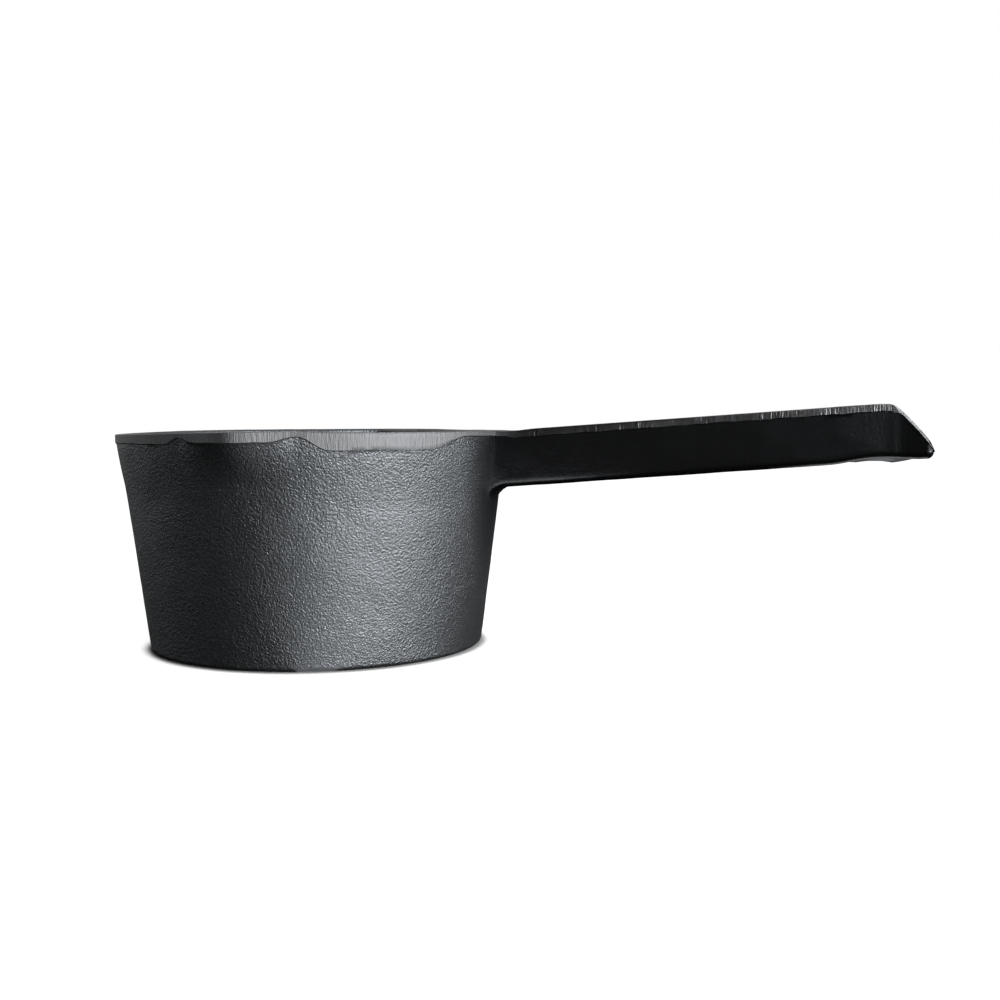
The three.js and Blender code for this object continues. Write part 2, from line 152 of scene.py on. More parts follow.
# Fineness of the meshes
TURNS = 288
BASE_RINGS = (0, 0.05, 0.3, 0.55, 0.8)  # shares of the way out to the base's edge
BASE_EDGE_STEPS = 6
WALL_STEPS = 34
FLARE_STEPS = 21
RIM_LAND_STEPS = 4
RIM_TOP_STEPS = 3
INSIDE_STEPS = 42
INNER_CORNER_STEPS = 9
FLOOR_RINGS = (0.92, 0.84, 0.76, 0.66, 0.55, 0.43, 0.3, 0.17, 0.05, 0)
SHANK_STEPS = 100
STEPS_CROWD = 1.35  # the steps are finer towards the root, for the fillet
BEVEL_STEPS = 14
END_STEPS = 12
ACROSS_STEPS = 16
EDGE_STEPS = 5
SIDE_STEPS = 12
LAND_STEPS = 2
SLOT_TURNS = 48
CORNER_STEPS = 4
FILLET_ROUNDS = 12  # of closing in on the fillet's height
SAME_PLACE = MM / 100  # what is nearer than this lies at one place
SEAM = 0.03 * MM  # corners nearer than this along a joint become one

CAST, GROUND, GROUND_TOP = range(3)  # material slots

DRAFT = (MOUTH_RADIUS - BASE_RADIUS) / HEIGHT
FLARE_START = HEIGHT - FLARE_DEPTH
LIP_CORNER_ANGLE = 90 - LIP_HALF_ANGLE
PLAIN_FOOT = HEIGHT - LAND_AT_BACK


def lerp(a, b, share):
    return a + (b - a) * share


def smoothstep(value, low, high):
    share = min(1, max(0, (value - low) / (high - low)))
    return share * share * (3 - 2 * share)


# The forms of the casting


def wall_radius(z):
    """The plain wall's outer radius at a height."""
    return BASE_RADIUS + DRAFT * z + RIM_FLARE * smoothstep(z, FLARE_START, HEIGHT - FLARE_UPRIGHT)


def lip_side(off):
    """How far a lip's straight side stands out of the rim, at an angle from the lip's point."""
    angle = math.radians(math.hypot(off, LIP_POINT_ANGLE))
    tip = MOUTH_RADIUS + LIP_REACH
    across = MOUTH_RADIUS * math.sin(math.radians(LIP_HALF_ANGLE))
    along = tip - MOUTH_RADIUS * math.cos(math.radians(LIP_HALF_ANGLE))
    return across * tip / (along * math.sin(angle) + across * math.cos(angle)) - MOUTH_RADIUS


def lip_reach(angle, z):
    """How far a lip stands out of the wall. It swells up the wall and is whole at the land's foot."""
    swell = (z - (HEIGHT - LIP_DEPTH)) / (LIP_DEPTH - LAND_ON_LIP)
    off = abs(abs(angle) - 90)
    if swell <= 0 or off >= LIP_HALF_ANGLE:
        return 0
    return LIP_REACH * max(0, lip_side(off)) / lip_side(0) * min(1, swell) ** LIP_SWELL


def wander(place, length, amount):
    """The unevenness of handwork: a smooth value either side of nought at a place on the casting."""
    return amount * noise.noise(Vector(place) / length)


def land_foot(angle):
    """The height of the ground land's lower edge at an angle from the handle."""
    far_corner = 180 - LIP_CORNER_ANGLE
    turns = [
        (ROOT_LAND_ANGLE, ROOT_BLEND_ANGLE, LAND_AT_ROOT, LAND_ON_SHOULDER),
        (LIP_CORNER_ANGLE - LAND_BLEND_ANGLE, LAND_BLEND_ANGLE, LAND_ON_SHOULDER, LAND_AT_LIP_CORNER),
        (LIP_CORNER_ANGLE, LAND_BLEND_ANGLE, LAND_AT_LIP_CORNER, LAND_ON_LIP),
        (far_corner - BACK_BLEND_ANGLE, BACK_BLEND_ANGLE, LAND_ON_LIP, LAND_AT_LIP_CORNER),
        (far_corner, BACK_BLEND_ANGLE, LAND_AT_LIP_CORNER, LAND_AT_BACK),
    ]
    land = LAND_AT_ROOT
    for at, over, before, after in turns:
        land += (after - before) * smoothstep(abs(angle), at, at + over)
    turn = math.radians(angle)
    place = (MOUTH_RADIUS * math.cos(turn), MOUTH_RADIUS * math.sin(turn), 0)
    return HEIGHT - land + wander(place, LAND_WANDER_LENGTH, LAND_WANDER)


def ledge(angle):
    """How far the land stands out over the cast skin below it."""
    start, end = SHOULDER
    begun = smoothstep(abs(angle), start, start + SHOULDER_FADE)
    ended = smoothstep(abs(angle), end - SHOULDER_FADE, end)
    return lerp(LAND_LEDGE, LEDGE_ON_SHOULDER, begun - ended)


def bowl_radius(angle, z):
    """The bowl's outer radius with its lips and its ground land."""
    foot = land_foot(angle)
    if z >= foot:
        return wall_radius(foot) + lip_reach(angle, foot)
    share = max(0, (z - FLARE_START) / (foot - FLARE_START))
    return wall_radius(z) + lip_reach(angle, z) - ledge(angle) * share


def rim_height(angle):
    """The rim's height, with the low places that the grinder left."""
    off = (angle - RIM_DIP_ANGLE + 180) % 360 - 180
    back = RIM_DIP * (1 - smoothstep(abs(off), 0, RIM_DIP_SPREAD))
    return HEIGHT - back - ROOT_DIP * (1 - smoothstep(abs(angle), *ROOT_DIP_ROUND_RIM))


def handle_top(x):
    """The height of the handle's top: level, then rising, then down the bevel."""

    def rise(to):
        return HEIGHT + max(0, to - HANDLE_LEVEL_END) * HANDLE_RISE

    along = min(1, max(0, (x - BEVEL_START) / (HANDLE_END - BEVEL_START)))
    crown = 4 * BEVEL_CROWN * along * (1 - along)
    bevel = rise(BEVEL_START) - (x - BEVEL_START) * BEVEL_SLOPE + crown
    root = ROOT_DIP * (1 - smoothstep(x, *ROOT_DIP_ALONG_HANDLE))
    return rise(x) - root - BEVEL_BLEND * math.log1p(math.exp((rise(x) - bevel) / BEVEL_BLEND))


def lower_line(x):
    """The height of the straight line that the handle's underside follows."""
    return HEIGHT - HANDLE_DEPTH + (x - HANDLE_LEVEL_END) * (HANDLE_RISE + HANDLE_DEPTH_LOSS)


def handle_half_width(x):
    if x < WAIST_AT:
        return lerp(ROOT_WIDTH, WAIST_WIDTH, smoothstep(x, HANDLE_LEVEL_END, WAIST_AT)) / 2
    return lerp(WAIST_WIDTH, EYE_WIDTH, smoothstep(x, WAIST_AT, EYE_AT)) / 2


def underside(x, y):
    """The height of the handle's underside, with its fillet into the wall and the boss under the eye."""
    beside = min(1, abs(x - EYE_AT) / (EYE_BOSS_LENGTH / 2))
    line = lower_line(x) + EYE_EDGE_LIFT * (1 - beside * beside) ** 2
    z = line
    for _ in range(FILLET_ROUNDS):
        gap = math.hypot(x, y) - wall_radius(z)
        short = min(UNDER_FILLET, max(0, UNDER_FILLET - gap))
        z = lerp(z, line - UNDER_FILLET + math.sqrt(UNDER_FILLET**2 - short**2), 0.5)
    round_place = ((x - EYE_AT) / (EYE_BOSS_LENGTH / 2)) ** 2 + (y / (EYE_BOSS_WIDTH / 2)) ** 2
    boss_centre = lower_line(EYE_AT) - EYE_BOSS_DROP + EYE_BOSS_DEPTH
    boss = boss_centre - EYE_BOSS_DEPTH * math.sqrt(max(0, 1 - round_place))
    soft = CAST_CORNER / 4
    return -soft * math.log(math.exp(-(z - line) / soft) + math.exp(-(boss - line) / soft)) + line


def handle_plan(station, radius, inset):
    """x and half width at a station of the handle's outline. Station 0 is inside the bowl's wall and
    station 1 on it. Then come the shank, the bevel and the rounded end."""
    shank = station - 1
    bevel = shank - SHANK_STEPS
    end = bevel - BEVEL_STEPS
    bend = BEVEL_START - BEVEL_BLEND
    end_centre = HANDLE_END - END_CROWN - END_CORNER
    if end > 0:
        turn = math.pi / 2 * end / END_STEPS
        half = handle_half_width(end_centre) - END_CORNER + (END_CORNER - inset) * math.cos(turn)
        return end_centre + (END_CORNER - inset) * math.sin(turn), half
    if bevel > 0:
        x = lerp(bend, end_centre, bevel / BEVEL_STEPS)
        return x, handle_half_width(x) - inset
    root = ROOT_WIDTH / 2 - inset
    if station == 0:
        return math.sqrt((radius - WALL / 2) ** 2 - root**2), root
    x = lerp(math.sqrt(radius**2 - root**2), bend, (shank / SHANK_STEPS) ** STEPS_CROWD)
    return x, handle_half_width(x) - inset


# Modelling


def start_piece(name):
    """Names the new primitive and opens it for editing, with its place already in its mesh."""
    piece = bpy.context.object
    piece.name = piece.data.name = name
    bpy.ops.object.transform_apply(location=True, rotation=True, scale=True)
    bpy.ops.object.mode_set(mode="EDIT")
    bpy.ops.mesh.select_all(action="SELECT")
    return piece


def extrude(x, y, z):
    bpy.ops.mesh.extrude_region_move(TRANSFORM_OT_translate={"value": (x, y, z)})


def close_up():
    """Merges what meets, turns every face outwards and leaves edit mode."""
    bpy.ops.mesh.select_all(action="SELECT")
    bpy.ops.mesh.remove_doubles(threshold=SAME_PLACE)
    bpy.ops.mesh.normals_make_consistent(inside=False)
    bpy.ops.object.mode_set(mode="OBJECT")
    bpy.ops.object.select_all(action="DESELECT")


def bowl_profile():
    """Half the section of the plain bowl: radius and height, from the underside's middle to the floor's."""

    def arc(radius, z, size, start, end, steps):
        for i in range(steps + 1):
            a = math.radians(lerp(start, end, i / steps))
            yield radius + size * math.cos(a), z + size * math.sin(a)

    def inner(z):
        return wall_radius(z) - WALL

    edge = wall_radius(BASE_EDGE_RADIUS) - BASE_EDGE_RADIUS
    points = [(edge * share, 0) for share in BASE_RINGS]
    points += arc(edge, BASE_EDGE_RADIUS, BASE_EDGE_RADIUS, -90, 0, BASE_EDGE_STEPS)
    for i in range(1, WALL_STEPS):
        z = lerp(BASE_EDGE_RADIUS, FLARE_START, i / WALL_STEPS)
        points.append((wall_radius(z), z))
    for i in range(FLARE_STEPS + 1):
        z = lerp(FLARE_START, PLAIN_FOOT - LAND_LEDGE, i / FLARE_STEPS)
        points.append((wall_radius(z) - LAND_LEDGE * i / FLARE_STEPS, z))
    upright = wall_radius(PLAIN_FOOT)
    for i in range(RIM_LAND_STEPS + 1):
        points.append((upright, lerp(PLAIN_FOOT, HEIGHT - OUTER_EDGE_BREAK, i / RIM_LAND_STEPS)))
    rim = HEIGHT - RIM_EDGE_BREAK
    for i in range(RIM_TOP_STEPS + 1):
        radius = lerp(upright - OUTER_EDGE_BREAK, inner(rim) + RIM_EDGE_BREAK, i / RIM_TOP_STEPS)
        points.append((radius, HEIGHT))
    low = FLOOR + INNER_CORNER_RADIUS
    for i in range(INSIDE_STEPS):
        z = lerp(rim, low, i / INSIDE_STEPS)
        points.append((inner(z), z))
    floor_edge = inner(low) - INNER_CORNER_RADIUS
    points += arc(floor_edge, low, INNER_CORNER_RADIUS, 0, -90, INNER_CORNER_STEPS)
    points += [(floor_edge * share, FLOOR) for share in FLOOR_RINGS]
    return points


def turn_bowl():
    """The plain bowl: its half section drawn point by point, and spun round the upright axis."""
    profile = bowl_profile()
    bpy.ops.mesh.primitive_plane_add(size=WALL, location=(*profile[0], 0))
    bowl = start_piece("saucepan")
    bpy.ops.mesh.merge(type="CENTER")
    for (r0, z0), (r1, z1) in zip(profile, profile[1:]):
        extrude(r1 - r0, 0, z1 - z0)
    bpy.ops.mesh.select_all(action="SELECT")
    bpy.ops.mesh.spin(steps=TURNS, angle=2 * math.pi, center=(0, 0, 0), axis=(0, 0, 1))
    close_up()
    return bowl


def shape_rim(bowl):
    """Draws the lips out of the plain rim, and the land to the heights that the grinder left it at."""
    for face in bowl.data.polygons:
        radius, z = math.hypot(face.center.x, face.center.y), face.center.z
        if z > HEIGHT - SAME_PLACE:
            face.material_index = GROUND_TOP
        elif z > PLAIN_FOOT and radius > wall_radius(z) - WALL / 2:
            face.material_index = GROUND
        else:
            face.material_index = CAST
    plain_upright = wall_radius(PLAIN_FOOT)
    for vertex in bowl.data.vertices:
        x, y, z = vertex.co
        if z <= FLARE_START + SAME_PLACE:
            continue
        radius = math.hypot(x, y)
        angle = math.degrees(math.atan2(y, x))
        foot = land_foot(angle)
        inner = wall_radius(z) - WALL
        on_top = z > HEIGHT - SAME_PLACE
        if radius < inner + SAME_PLACE and not on_top:
            new = radius + lip_reach(angle, min(z, HEIGHT - RIM_EDGE_BREAK))
        elif z < PLAIN_FOOT - SAME_PLACE:
            share = (z - FLARE_START) / (PLAIN_FOOT - LAND_LEDGE - FLARE_START)
            z = lerp(FLARE_START, foot - LAND_LEDGE, share)
            new = bowl_radius(angle, z)
        else:
            span = plain_upright - (wall_radius(HEIGHT) - WALL)
            share = min(1, (plain_upright - radius) / span) if on_top else 0
            new = lerp(bowl_radius(angle, HEIGHT), inner + lip_reach(angle, HEIGHT), share)
            z = lerp(foot, HEIGHT, (z - PLAIN_FOOT) / (HEIGHT - PLAIN_FOOT))
        drop = (HEIGHT - rim_height(angle)) * smoothstep(z, PLAIN_FOOT, HEIGHT)
        vertex.co = (x / radius * new, y / radius * new, z - drop)


def handle_levels(station):
    """Heights and insets of one station of the handle's side, from its underside to its top edge."""
    reference = bowl_radius(0, lower_line(MOUTH_RADIUS)) - ROOT_OVERLAP
    edge_inset = LAND_LEDGE + (HANDLE_DEPTH - HANDLE_LAND) * DRAFT
    low = underside(*handle_plan(station, reference, edge_inset))
    x = handle_plan(station, reference, 0)[0]
    out = smoothstep(x, MOUTH_RADIUS, MOUTH_RADIUS + ROOT_LAND_LENGTH)
    on_bevel = smoothstep(x, BEVEL_START, BEVEL_START + HANDLE_LAND)
    land = lerp(lerp(LAND_AT_ROOT, HANDLE_LAND, out), BEVEL_LAND, on_bevel)
    top = handle_top(x)
    foot = top - land + wander((x, 0, 0), LAND_WANDER_LENGTH, LAND_WANDER * out * (1 - on_bevel))
    size = min(HANDLE_EDGE_RADIUS, (foot - LAND_LEDGE - low) * HANDLE_EDGE_SHARE)
    levels = []
    for i in range(EDGE_STEPS + 1):
        a = math.pi / 2 * i / EDGE_STEPS
        z = low + size * (1 - math.cos(a))
        levels.append((z, LAND_LEDGE + (foot - z) * DRAFT + size * (1 - math.sin(a))))
    for i in range(1, SIDE_STEPS + 1):
        z = lerp(low + size, foot - LAND_LEDGE, i / SIDE_STEPS)
        levels.append((z, LAND_LEDGE + (foot - z) * DRAFT))
    edge_break = lerp(OUTER_EDGE_BREAK, BEVEL_EDGE_BREAK, on_bevel)
    for i in range(LAND_STEPS + 1):
        levels.append((lerp(foot, top - edge_break, i / LAND_STEPS), 0))
    levels.append((top, edge_break))
    return levels


def model_handle():
    """The handle: a flat grid extruded up through its levels, and drawn to its outline and heights."""
    stations = 1 + SHANK_STEPS + BEVEL_STEPS + END_STEPS
    levels = [handle_levels(station) for station in range(stations + 1)]
    top = len(levels[0]) - 1
    bpy.ops.mesh.primitive_grid_add(x_subdivisions=stations, y_subdivisions=ACROSS_STEPS, size=2)
    bar = start_piece("handle")
    for _ in range(top):
        extrude(0, 0, 1)
    bpy.ops.object.mode_set(mode="OBJECT")
    for face in bar.data.polygons:
        lowest = min(round(bar.data.vertices[corner].co.z) for corner in face.vertices)
        if lowest == top:
            face.material_index = GROUND_TOP
        elif lowest >= top - 1 - LAND_STEPS:
            face.material_index = GROUND
        else:
            face.material_index = CAST
    for vertex in bar.data.vertices:
        u, v, level = vertex.co
        station = round((u + 1) / 2 * stations)
        column = round((v + 1) / 2 * ACROSS_STEPS)
        level = round(level)
        z, inset = levels[station][level]
        radius = bowl_radius(0, z) - ROOT_OVERLAP
        x, half = handle_plan(station, radius, inset)
        y = v * half
        if station == 0:
            x = math.sqrt((radius - WALL / 2) ** 2 - y**2)
        elif station == 1:
            x = math.sqrt(radius**2 - y**2)
        else:
            x += END_CROWN * (1 - v * v) * smoothstep(station, stations - END_STEPS, stations)
        if level == top:
            z = handle_top(x)
        elif 0 < column < ACROSS_STEPS and 0 < station < stations:
            z = underside(x, y)
        vertex.co = (x, y, z)
    bpy.ops.object.mode_set(mode="EDIT")
    close_up()
    return bar


def slot_cutter(name, start, end, width, layers):
    """A bar with round ends that cuts a slot. Each layer is a growth of its half width and a height."""
    bpy.ops.mesh.primitive_circle_add(
        vertices=SLOT_TURNS, radius=width / 2, fill_type="NGON", rotation=(0, 0, math.pi / SLOT_TURNS)
    )
    cutter = start_piece(name)
    for _ in layers[1:]:
        extrude(0, 0, 1)
    bpy.ops.object.mode_set(mode="OBJECT")
    for vertex in cutter.data.vertices:
        x, y, layer = vertex.co
        growth, height = layers[round(layer)]
        grown = 1 + growth / (width / 2)
        x = x * grown + (end - width / 2 if x > 0 else start + width / 2)
        vertex.co = (x, y * grown, height(x, y * grown))
    bpy.ops.object.mode_set(mode="EDIT")
    close_up()
    return cutter


def recess_cutter():
    """Cuts the lengthwise recess under the handle: drafted sides, with the sand's radius on every edge."""

    def at(share, depth):
        return lambda x, y: lerp(lower_line(x), handle_top(x) - HANDLE_WEB, share) + depth

    layers = [(CAST_CORNER, at(0, -CAST_CORNER)), (CAST_CORNER, at(0, -CUT_PAST))]
    turns = [math.pi / 2 * i / CORNER_STEPS for i in range(1, CORNER_STEPS + 1)]
    for a in turns:
        layers.append((CAST_CORNER * (1 - math.sin(a)), at(0, CAST_CORNER * (1 - math.cos(a)))))
    pull = (RECESS_TOP_WIDTH - RECESS_WIDTH) / 2
    layers.append((pull, at(1, -CAST_CORNER)))
    for a in turns:
        layers.append((pull - CAST_CORNER * (1 - math.cos(a)), at(1, CAST_CORNER * (math.sin(a) - 1))))
    return slot_cutter("recess_cutter", RECESS_START, RECESS_END, RECESS_WIDTH, layers)


def eye_cutter():
    """Cuts the hanging eye: a slot straight through, with its edges eased above and below."""
    ease = CAST_CORNER / 2
    layers = [
        (ease, lambda x, y: lower_line(x) - 2 * EYE_BOSS_DEPTH),
        (ease, lambda x, y: underside(x, y) - CUT_PAST),
        (ease / 3, lambda x, y: underside(x, y) + ease / 3),
        (0, lambda x, y: underside(x, y) + ease),
        (0, lambda x, y: handle_top(x) - ease),
        (ease / 3, lambda x, y: handle_top(x) - ease / 3),
        (ease, lambda x, y: handle_top(x) + CUT_PAST),
        (ease, lambda x, y: handle_top(x) + EYE_BOSS_DEPTH),
    ]
    start, end = EYE_AT - EYE_SLOT_LENGTH / 2, EYE_AT + EYE_SLOT_LENGTH / 2
    return slot_cutter("eye_cutter", start, end, EYE_SLOT_WIDTH, layers)


def activate(piece):
    bpy.ops.object.select_all(action="DESELECT")
    bpy.context.view_layer.objects.active = piece
    piece.select_set(True)


def combine(piece, other, operation):
    """Joins another form to a piece, or cuts it out of the piece."""
    activate(piece)
    bpy.ops.object.modifier_add(type="BOOLEAN")
    modifier = piece.modifiers[-1]
    modifier.object = other
    modifier.operation = operation
    modifier.solver = "EXACT"
    bpy.ops.object.modifier_apply(modifier=modifier.name)
    bpy.data.objects.remove(other)


def soften_root(pan):
    """Smooths the cast skin where the fillet under the handle runs into the wall."""
    activate(pan)
    bpy.ops.object.mode_set(mode="EDIT")
    bpy.ops.mesh.select_all(action="SELECT")
    bpy.ops.mesh.remove_doubles(threshold=SEAM)
    bpy.ops.mesh.select_all(action="DESELECT")
    bpy.ops.object.mode_set(mode="OBJECT")
    under = lower_line(MOUTH_RADIUS)
    low, high = under - UNDER_FILLET - SOFT_ROOT, under - SOFT_ROOT / 2
    side = (ROOT_WIDTH - HANDLE_EDGE_RADIUS) / 2  # halfway round the handle's lower edges
    for vertex in pan.data.vertices:
        x, y, z = vertex.co
        if x > 0 and abs(y) <= side and low <= z <= high:
            vertex.select = abs(math.hypot(x, y) - wall_radius(z)) < SOFT_ROOT
    bpy.ops.object.mode_set(mode="EDIT")
    bpy.ops.mesh.vertices_smooth(factor=0.5, repeat=6)
    bpy.ops.object.mode_set(mode="OBJECT")


def leave_cast_skin_uneven(pan):
    """Moves the skin in and out as a rammed sand mould leaves it. The ground land and the base stay. The
    flat ground top keeps a little of the waves between its edges, where the wheel rode over them."""
    still = set()
    for face in pan.data.polygons:
        if face.material_index == GROUND or face.center.z < SAME_PLACE:
            still.update(face.vertices)
    skin = "cast_skin"
    pan.vertex_groups.new(name=skin)
    for vertex in pan.data.vertices:
        if vertex.index not in still:
            pan.vertex_groups[skin].add([vertex.index], smoothstep(vertex.co.z, 0, FLOOR), "REPLACE")
    activate(pan)
    for name, (length, amount) in (("mould_swell", MOULD_SWELL), ("mould_ramming", MOULD_RAMMING)):
        clouds = bpy.data.textures.new(name, "CLOUDS")
        clouds.noise_scale = length
        bpy.ops.object.modifier_add(type="DISPLACE")
        modifier = pan.modifiers[-1]
        modifier.texture = clouds
        modifier.texture_coords = "LOCAL"
        modifier.strength = amount
        modifier.vertex_group = skin
        bpy.ops.object.modifier_apply(modifier=modifier.name)


def trim_to(pan, box):
    """Dresses off the little that stands out of the casting's nominal size."""
    low, high = box
    for vertex in pan.data.vertices:
        vertex.co = [min(max(c, a), b) for c, a, b in zip(vertex.co, low, high)]


# Materials


def linear(colour):
    """A hex sRGB colour as linear RGBA."""
    parts = [int(colour[i : i + 2], 16) / 255 for i in (1, 3, 5)]
    return (*[c / 12.92 if c <= 0.04045 else ((c + 0.055) / 1.055) ** 2.4 for c in parts], 1)


def add(tree, kind, settings, inputs):
    """Adds a node with its settings, and gives its inputs their values or links."""
    node = tree.nodes.new(kind)
    for name, value in settings.items():
        setattr(node, name, value)
    for name, value in inputs.items():
        if isinstance(value, bpy.types.NodeSocket):
            tree.links.new(value, node.inputs[name])
        else:
            node.inputs[name].default_value = value
    return node


def per(length):
    """A pattern's scale from the size of its grain."""
    return 1 / length


def new_material(name):
    material = bpy.data.materials.new(name)
    material.use_nodes = True
    material.node_tree.nodes.clear()
    return material, material.node_tree


def grain(tree, place, size, depth, strength):
    """Bumps like the mark of moulding sand: rounded swellings of one size, crowded and bent together."""
    bend = add(tree, "ShaderNodeTexNoise", {}, {"Vector": place, "Scale": per(size), "Detail": 1})
    inputs = {0: bend.outputs["Color"], 1: (size, size, size), 2: place}
    bent = add(tree, "ShaderNodeVectorMath", {"operation": "MULTIPLY_ADD"}, inputs).outputs[0]
    crowded = size * 0.6
    inputs = {"Vector": bent, "Scale": per(crowded), "Detail": 2, "Roughness": 0.45}
    swellings = add(tree, "ShaderNodeTexNoise", {}, inputs).outputs["Fac"]
    inputs = {"Height": swellings, "Strength": strength, "Distance": depth}
    return add(tree, "ShaderNodeBump", {}, inputs).outputs["Normal"]


def towards_tip(tree, place, between, at_bowl, at_tip):
    """A value that changes from the bowl to the handle, between two distances out from the middle."""
    x = add(tree, "ShaderNodeSeparateXYZ", {}, {0: place}).outputs[0]
    ends = {1: between[0], 2: between[1], 3: at_bowl, 4: at_tip}
    return add(tree, "ShaderNodeMapRange", {}, {"Value": x, **ends}).outputs[0]


def finish_material(name, colour, between, roughness, bump):
    """An iron surface: a colour, its roughness on the bowl and on the handle, and its bumps."""
    material, tree = new_material(name)
    place = add(tree, "ShaderNodeTexCoord", {}, {}).outputs["Object"]
    inputs = {
        "Base Color": linear(colour),
        "Metallic": 1,
        "Roughness": towards_tip(tree, place, between, *roughness),
        "Normal": bump(tree, place),
    }
    shader = add(tree, "ShaderNodeBsdfPrincipled", {}, inputs)
    add(tree, "ShaderNodeOutputMaterial", {}, {"Surface": shader.outputs[0]})
    return material


def sand_cast_iron():
    """Grey iron cast in green sand and seasoned black: a dense orange-peel grain under a satin oil film.
    The handle's mould is faced with finer sand, so its skin is smoother and looks darker."""

    def skin(tree, place):
        strength = towards_tip(tree, place, FINE_SAND, at_bowl=1, at_tip=0.22)
        return grain(tree, place, size=1.15 * MM, depth=0.34 * MM, strength=strength)

    return finish_material(
        "sand_cast_iron_seasoned", "#707376", between=FINE_SAND, roughness=(0.46, 0.23), bump=skin
    )


def hand_ground_iron(name, roughness):
    """Iron ground by hand on a wheel, then seasoned: dull and smooth, with upright wheel marks."""

    def marks(tree, place):
        drawn_out = (1, 1, 0.12)  # a mark is some eight times as high as it is wide
        upright = add(tree, "ShaderNodeMapping", {}, {"Vector": place, "Scale": drawn_out}).outputs[0]
        strength = towards_tip(tree, place, FINE_GRINDING, at_bowl=1, at_tip=0.7)
        return grain(tree, upright, size=1 * MM, depth=0.22 * MM, strength=strength)

    return finish_material(name, "#757678", between=FINE_GRINDING, roughness=roughness, bump=marks)


# The saucepan

saucepan = turn_bowl()
shape_rim(saucepan)
handle = model_handle()
# The wheel's edge has polished the land on the handle's sides. Its flat leaves the top dull all over.
skins = [
    sand_cast_iron(),
    hand_ground_iron("hand_ground_iron_edge_seasoned", roughness=(0.62, 0.3)),
    hand_ground_iron("flat_ground_iron_top_seasoned", roughness=(0.62, 0.62)),
]
for piece in (saucepan, handle):
    for skin in skins:
        piece.data.materials.append(skin)
combine(handle, recess_cutter(), "DIFFERENCE")
combine(handle, eye_cutter(), "DIFFERENCE")
combine(saucepan, handle, "UNION")
soften_root(saucepan)
leave_cast_skin_uneven(saucepan)
trim_to(saucepan, cad_box)
activate(saucepan)
bpy.ops.object.shade_smooth_by_angle(angle=math.radians(CREASE_ANGLE))

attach(saucepan, "root")
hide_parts("pan_floor", "pan_wall", "pour_lip_near", "pour_lip_far", "handle_shank", "hanging_eye")


# Floor, light and camera

WHITE = linear("#ffffff")
PAPER = "#c0c0c0"
PAPER_GLOW = 0.93  # brings the paper up to white for the camera
PAINTED_SHADE_REACH = 6 * MM  # how near the pan has to be for the painted contact shadow on the paper
PAINTED_SHADE_OPEN = (0.5, 0.8)  # how open the paper is where the painted contact shadow is full, and where it ends
DIM = 0.005  # the unlit room, and the floor as the iron reflects it
FLOOR_LEVEL = -MM / 20  # a hair under the base, so that the two don't share a plane
CARD_LEVEL = -MM / 40  # and the cards lie on it
CAMERA_AT = (174.3 * MM, -442.6 * MM, 83.3 * MM)
CAMERA_AZIMUTH = 103.08
CAMERA_PITCH = -3.62
CAMERA_ROLL = 0.29  # degrees, by which the photograph was held askew
CAMERA_LENS = 44.53
CAMERA_SENSOR = 36


def towards(azimuth, elevation):
    turn, lift = math.radians(azimuth), math.radians(elevation)
    return Vector((math.cos(turn) * math.cos(lift), math.sin(turn) * math.cos(lift), math.sin(lift)))


def lay_sheet(name, size, place, in_reflections):
    """A plain sheet on the table. The camera sees every sheet as white paper with the pan's soft shadow from
    the lamps on it. On top of that is a painted contact shadow, made by ambient occlusion darkening the
    paper's glow, deepest where the base nearly touches it. The iron reflects each one as bright as it is set."""
    bpy.ops.mesh.primitive_plane_add(size=size, location=place)
    sheet = bpy.context.object
    sheet.name = name
    material, tree = new_material("paper_" + name)
    paint = add(tree, "ShaderNodeBsdfDiffuse", {}, {"Color": linear(PAPER)}).outputs[0]
    # Painted contact shadow: ambient occlusion near the pan darkens the paper's glow, on top of the real
    # shadow from the lamps.
    inputs = {"Distance": PAINTED_SHADE_REACH}
    openness_for_painted_shade = add(tree, "ShaderNodeAmbientOcclusion", {"samples": 8}, inputs).outputs["AO"]
    ends = {1: PAINTED_SHADE_OPEN[0], 2: PAINTED_SHADE_OPEN[1], 3: 0, 4: PAPER_GLOW}
    glow_with_painted_shade = add(tree, "ShaderNodeMapRange", {}, {"Value": openness_for_painted_shade, **ends}).outputs[0]
    glow = add(tree, "ShaderNodeEmission", {}, {"Color": WHITE, "Strength": glow_with_painted_shade}).outputs[0]
    lit = add(tree, "ShaderNodeAddShader", {}, {0: paint, 1: glow}).outputs[0]
    mirrored = add(tree, "ShaderNodeEmission", {}, {"Color": WHITE, "Strength": in_reflections}).outputs[0]
    seen = add(tree, "ShaderNodeLightPath", {}, {}).outputs["Is Camera Ray"]
    both = add(tree, "ShaderNodeMixShader", {}, {0: seen, 1: mirrored, 2: lit}).outputs[0]
    add(tree, "ShaderNodeOutputMaterial", {}, {"Surface": both})
    sheet.data.materials.append(material)


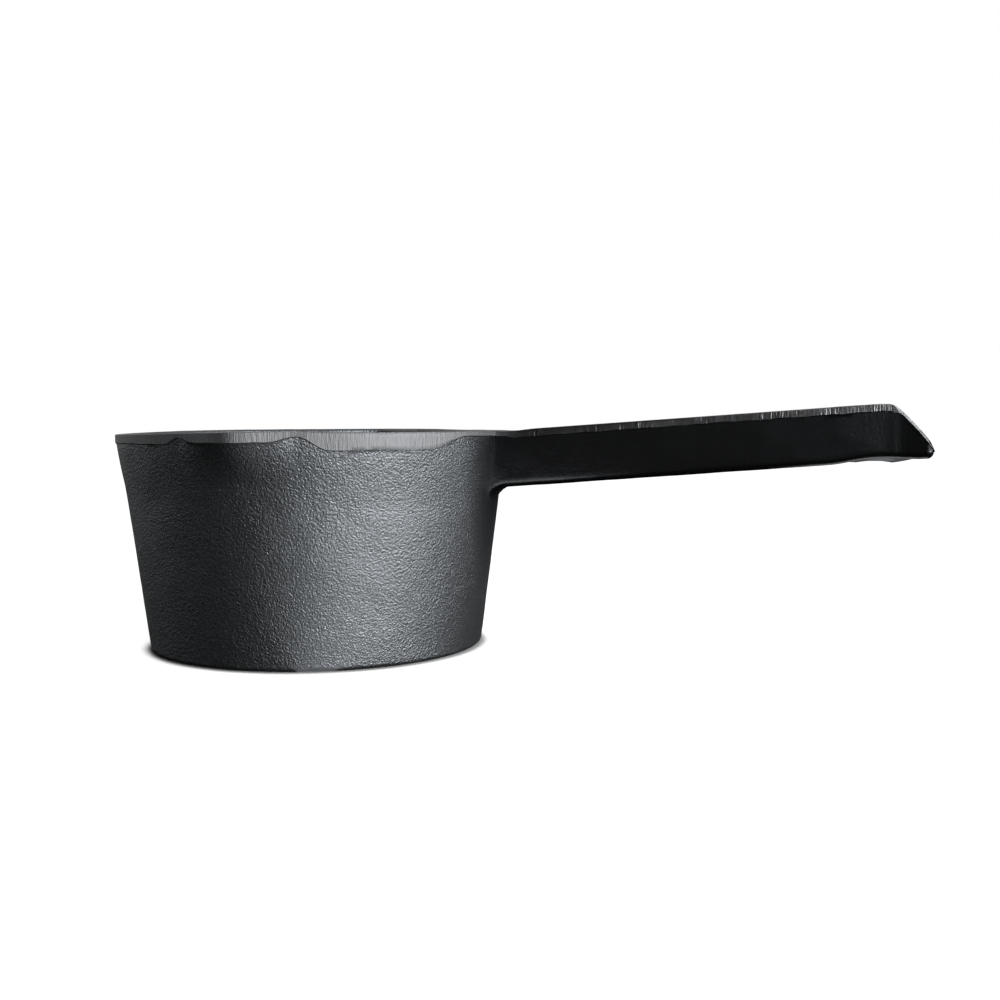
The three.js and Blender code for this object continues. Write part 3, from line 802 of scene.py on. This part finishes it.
def light_world(azimuth, middle, edge):
    """A dim room with a white backdrop. The iron reflects the backdrop where it stands, behind the pan on
    the left: white to so many degrees from its middle, and faded out at its edge. The camera sees it
    everywhere."""
    world = bpy.data.worlds.new("studio")
    bpy.context.scene.world = world
    world.use_nodes = True
    tree = world.node_tree
    tree.nodes.clear()
    rays = add(tree, "ShaderNodeLightPath", {}, {}).outputs
    ahead = add(tree, "ShaderNodeTexCoord", {}, {}).outputs["Generated"]
    inputs = {0: ahead, 1: towards(azimuth, 0)}
    facing = add(tree, "ShaderNodeVectorMath", {"operation": "DOT_PRODUCT"}, inputs).outputs["Value"]
    inputs = {"Value": facing, 1: math.cos(math.radians(edge)), 2: math.cos(math.radians(middle))}
    backdrop = add(tree, "ShaderNodeMapRange", {"interpolation_type": "SMOOTHSTEP"}, inputs).outputs[0]
    inputs = {0: rays["Is Glossy Ray"], 1: rays["Is Transmission Ray"]}
    mirrored = add(tree, "ShaderNodeMath", {"operation": "MAXIMUM"}, inputs).outputs[0]
    reflected = add(tree, "ShaderNodeMath", {"operation": "MULTIPLY"}, {0: mirrored, 1: backdrop}).outputs[0]
    inputs = {0: rays["Is Camera Ray"], 1: reflected}
    seen = add(tree, "ShaderNodeMath", {"operation": "MAXIMUM"}, inputs).outputs[0]
    room = add(tree, "ShaderNodeBackground", {}, {"Color": WHITE, "Strength": DIM}).outputs[0]
    white = add(tree, "ShaderNodeBackground", {}, {"Color": WHITE, "Strength": 1}).outputs[0]
    mixed = add(tree, "ShaderNodeMixShader", {}, {0: seen, 1: room, 2: white}).outputs[0]
    add(tree, "ShaderNodeOutputWorld", {}, {"Surface": mixed})


def hang_lamp(name, azimuth, elevation, spread, strength):
    """A soft lamp far off in one direction, so many degrees across."""
    bpy.ops.object.light_add(type="SUN")
    lamp = bpy.context.object
    lamp.name = name
    lamp.rotation_euler = towards(azimuth, elevation).to_track_quat("Z", "Y").to_euler()
    lamp.data.angle = math.radians(spread)
    lamp.data.energy = strength


def open_window(azimuth, distance, sill, width, height, power):
    """The soft main light: a low window to one side of the camera."""
    bpy.ops.object.light_add(type="AREA")
    lamp = bpy.context.object
    lamp.name = "window"
    aim = towards(azimuth, 0)
    lamp.location = aim * distance + Vector((0, 0, sill + height / 2))
    lamp.rotation_euler = aim.to_track_quat("Z", "Y").to_euler()
    lamp.data.shape = "RECTANGLE"
    lamp.data.size, lamp.data.size_y = width, height
    lamp.data.energy = power


def place_camera():
    """The photograph's view: level with the rim and a little in front of the handle's side."""
    bpy.ops.object.camera_add(location=CAMERA_AT)
    camera = bpy.context.object
    ahead = towards(CAMERA_AZIMUTH, CAMERA_PITCH)
    camera.rotation_mode = "QUATERNION"
    camera.rotation_quaternion = Quaternion(ahead, math.radians(CAMERA_ROLL)) @ ahead.to_track_quat("-Z", "Y")
    camera.data.sensor_width = CAMERA_SENSOR
    camera.data.lens = CAMERA_LENS
    camera.data.clip_start = 10 * MM
    bpy.context.scene.camera = camera


lay_sheet("floor", size=12, place=(0, 0, FLOOR_LEVEL), in_reflections=DIM)
# The cards light the foot of the wall, the boss under the eye and the handle's far side.
lay_sheet("white_card", size=80 * MM, place=(55 * MM, -95 * MM, CARD_LEVEL), in_reflections=0.5)
lay_sheet("small_card", size=60 * MM, place=(212 * MM, 42 * MM, CARD_LEVEL), in_reflections=0.7)
lay_sheet("far_card", size=160 * MM, place=(265 * MM, 152 * MM, CARD_LEVEL), in_reflections=0.15)
light_world(azimuth=148, middle=34, edge=66)
open_window(azimuth=-30, distance=1200 * MM, sill=10 * MM, width=1340 * MM, height=500 * MM, power=27.5)
hang_lamp("ceiling", azimuth=90, elevation=75, spread=60, strength=0.6)
hang_lamp("skylight", azimuth=33, elevation=33, spread=20, strength=0.5)
place_camera()

scene = bpy.context.scene
scene.view_settings.view_transform = "Standard"
